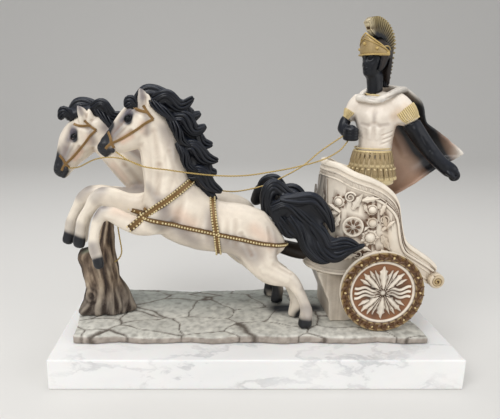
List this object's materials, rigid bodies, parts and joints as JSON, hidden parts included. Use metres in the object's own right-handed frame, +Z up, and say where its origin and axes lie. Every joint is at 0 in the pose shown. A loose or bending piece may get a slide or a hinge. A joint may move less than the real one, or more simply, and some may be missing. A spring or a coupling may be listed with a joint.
{
  "type": "two-horse chariot statuette",
  "caption": "Decorative cast statuette of a racing chariot drawn by two leaping horses, with its driver, on a stone plinth; the wheels turn on their axle.",
  "frame": {"origin": "middle of the plinth's underside, where it stands on a shelf", "axes": "+X from the horses towards the chariot's rear, +Y away from the viewer of the near side, +Z up"},
  "size_m": [0.3312, 0.13, 0.2634],
  "materials": {
    "marble": "polished white marble with soft grey veins",
    "flagstone": "grey painted cast flagstones with brown edges",
    "bark": "brown-grey painted cast bark",
    "ivory_resin": "ivory painted casting with brown wash and grey airbrushed shading",
    "black_resin": "blue-black satin paint with a soft sheen",
    "gilt": "antique gold paint",
    "dark_metal": "dark painted steel rod",
    "gold_cord": "twisted metallic gold cord"
  },
  "bodies": {
    "statuette": {"marble_base": "marble", "ground_plate": "flagstone", "tree_stump": "bark", "near_horse": "ivory_resin", "far_horse": "ivory_resin", "near_mane": "black_resin", "far_mane": "black_resin", "near_tail": "black_resin", "far_tail": "black_resin", "near_harness": "gilt", "far_harness": "gilt", "near_bit": "gilt", "far_bit": "gilt", "chariot_body": "ivory_resin", "chariot_support": "ivory_resin", "draft_pole": "black_resin", "axle": "dark_metal", "driver_legs": "black_resin", "driver_kilt": "ivory_resin", "driver_cuirass": "ivory_resin", "driver_head": "black_resin", "driver_helmet": "gilt", "driver_crest": "gilt", "driver_right_arm": "black_resin", "driver_left_arm": "black_resin", "driver_cape": "ivory_resin", "near_rein": "gold_cord", "far_rein": "gold_cord", "loose_cord": "gold_cord"},
    "near_wheel": {"near_wheel": "ivory_resin"},
    "far_wheel": {"far_wheel": "ivory_resin"}
  },
  "joints": [
    {"name": "near_wheel_spin", "type": "hinge", "parent": "statuette", "child": "near_wheel", "pos_m": [0.0974, -0.0315, 0.0622], "axis": [0, 1, 0], "continuous": true},
    {"name": "far_wheel_spin", "type": "hinge", "parent": "statuette", "child": "far_wheel", "pos_m": [0.0974, 0.0425, 0.0622], "axis": [0, 1, 0], "continuous": true}
  ]
}
